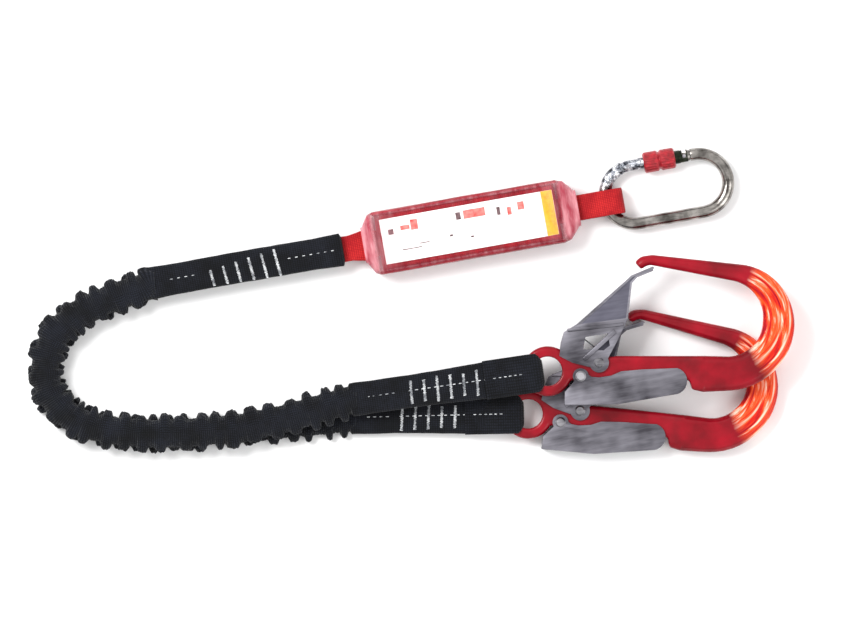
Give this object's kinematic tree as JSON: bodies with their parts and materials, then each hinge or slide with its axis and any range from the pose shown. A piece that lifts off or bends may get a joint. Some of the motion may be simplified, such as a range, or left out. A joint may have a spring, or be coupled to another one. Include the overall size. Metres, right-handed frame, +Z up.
{
  "type": "shock absorbing lanyard",
  "caption": "Elastic twin leg safety lanyard with a covered tear webbing shock absorber, an oval screw lock carabiner and large sprung scaffold hooks.",
  "frame": {"origin": "centre of the absorber pack's flat underside, on the surface the lanyard lies on", "axes": "+X runs along the absorber pack towards the carabiner, +Z is up, away from the surface; the legs leave towards -X and turn back on the -Y side"},
  "size_m": [0.6257, 0.2525, 0.0386],
  "materials": {
    "clear_pvc": "clear heat-shrunk PVC film",
    "red_webbing": "red polyester webbing",
    "black_webbing": "black polyester webbing",
    "elastic": "covered rubber elastic",
    "label": "printed card, white with a yellow end",
    "thread": "white bonded polyester thread",
    "red_thread": "dark red bonded polyester thread",
    "carabiner_steel": "bright nickel plate",
    "sleeve_red": "red anodised, knurled",
    "hook_paint": "glossy dark red coat",
    "pressed_steel": "zinc plated pressed sheet",
    "spring_steel": "drawn wire",
    "pin_steel": "turned pin"
  },
  "bodies": {
    "lanyard": {"clear_cover": "clear_pvc", "tear_webbing": "red_webbing", "label_card": "label", "harness_loop": "red_webbing", "harness_loop_stitching": "red_thread", "leg_tongue": "red_webbing", "leg_1_absorber_sleeve": "black_webbing", "leg_2_absorber_sleeve": "black_webbing", "absorber_end_stitching": "thread", "leg_1_webbing": "black_webbing", "leg_1_elastic_core": "elastic", "leg_2_webbing": "black_webbing", "leg_2_elastic_core": "elastic", "leg_1_hook_sleeve": "black_webbing", "leg_1_hook_stitching": "thread", "leg_2_hook_sleeve": "black_webbing", "leg_2_hook_stitching": "thread"},
    "carabiner": {"carabiner_body": "carabiner_steel", "carabiner_nose_pin": "pin_steel", "carabiner_hinge_pin": "pin_steel"},
    "carabiner_gate": {"carabiner_gate": "carabiner_steel", "carabiner_gate_plunger": "pin_steel", "carabiner_gate_spring": "spring_steel"},
    "screw_sleeve": {"carabiner_screw_sleeve": "sleeve_red"},
    "hook_1": {"hook_1_body": "hook_paint", "hook_1_gate_rivet": "pin_steel", "hook_1_lever_rivet": "pin_steel"},
    "hook_1_gate": {"hook_1_gate": "pressed_steel", "hook_1_gate_spring": "spring_steel"},
    "hook_1_lever": {"hook_1_lever": "pressed_steel", "hook_1_lever_spring": "spring_steel"},
    "hook_2": {"hook_2_body": "hook_paint", "hook_2_gate_rivet": "pin_steel", "hook_2_lever_rivet": "pin_steel"},
    "hook_2_gate": {"hook_2_gate": "pressed_steel", "hook_2_gate_spring": "spring_steel"},
    "hook_2_lever": {"hook_2_lever": "pressed_steel", "hook_2_lever_spring": "spring_steel"}
  },
  "joints": [
    {"name": "carabiner_swing", "type": "hinge", "parent": "lanyard", "child": "carabiner", "pos_m": [0.113, 0, 0.0086], "axis": [0, -1, 0], "range_deg": [0, 130]},
    {"name": "carabiner_gate_open", "type": "hinge", "parent": "carabiner", "child": "carabiner_gate", "pos_m": [0.136, 0.027, 0.0086], "axis": [0, 0, -1], "range_deg": [0, 26], "stiffness_Nm_per_rad": 0.15, "springref_deg": -34.38},
    {"name": "screw_sleeve_lock", "type": "slide", "parent": "carabiner_gate", "child": "screw_sleeve", "axis": [1, 0, 0], "range_m": [0, 0.015]},
    {"name": "hook_1_swing", "type": "hinge", "parent": "lanyard", "child": "hook_1", "pos_m": [0.0415, -0.1273, 0.0292], "axis": [0, 0, 1], "range_deg": [-30, 12]},
    {"name": "hook_1_gate_open", "type": "hinge", "parent": "hook_1", "child": "hook_1_gate", "pos_m": [0.08408, -0.1277, 0.0292], "axis": [0, 0, -1], "range_deg": [0, 50], "stiffness_Nm_per_rad": 0.4, "springref_deg": -28.65},
    {"name": "hook_1_lever_press", "type": "hinge", "parent": "hook_1", "child": "hook_1_lever", "pos_m": [0.06739, -0.13593, 0.0292], "axis": [0, 0, 1], "range_deg": [0, 6], "stiffness_Nm_per_rad": 1.5, "springref_deg": -11.46},
    {"name": "hook_2_swing", "type": "hinge", "parent": "lanyard", "child": "hook_2", "pos_m": [0.02, -0.1592, 0.0096], "axis": [0, 0, 1], "range_deg": [-30, 12]},
    {"name": "hook_2_gate_open", "type": "hinge", "parent": "hook_2", "child": "hook_2_gate", "pos_m": [0.0623, -0.16405, 0.0096], "axis": [0, 0, -1], "range_deg": [0, 50], "stiffness_Nm_per_rad": 0.4, "springref_deg": -28.65},
    {"name": "hook_2_lever_press", "type": "hinge", "parent": "hook_2", "child": "hook_2_lever", "pos_m": [0.04485, -0.17049, 0.0096], "axis": [0, 0, 1], "range_deg": [0, 6], "stiffness_Nm_per_rad": 1.5, "springref_deg": -11.46}
  ]
}
